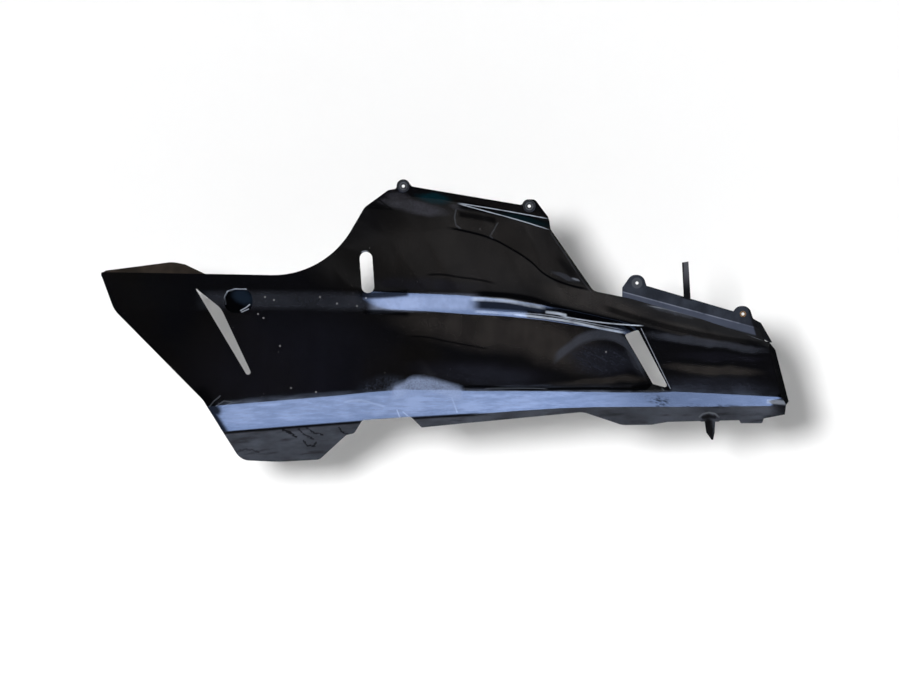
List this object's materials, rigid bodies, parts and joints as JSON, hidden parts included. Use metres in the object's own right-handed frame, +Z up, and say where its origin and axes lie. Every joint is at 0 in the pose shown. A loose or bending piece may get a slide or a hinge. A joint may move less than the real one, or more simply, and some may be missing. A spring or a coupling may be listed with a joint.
{
  "type": "motorcycle belly pan",
  "caption": "Right-hand half of a motorcycle belly pan: creased gloss shell with slot, slit, pocket and slanting vent, bushed fixing tabs and a matt tabbed rail behind its nose.",
  "frame": {"origin": "midway between the holes of the two upper tabs, on the outer face of their flange", "axes": "+X forward along the motorcycle, +Y inboard towards the engine, +Z up; the painted face looks along -Y"},
  "size_m": [0.7019, 0.1136, 0.2885],
  "materials": {
    "gloss_paint": "gloss black paint, dusty and scuffed",
    "matt_moulding": "matt, faded",
    "bush_rubber": "matt, greyed",
    "insert_brass": "dull, tarnished"
  },
  "bodies": {
    "root": {"shell": "gloss_paint", "rail": "matt_moulding", "grommet_rear": "bush_rubber", "grommet_front": "bush_rubber", "insert": "insert_brass"}
  },
  "joints": []
}
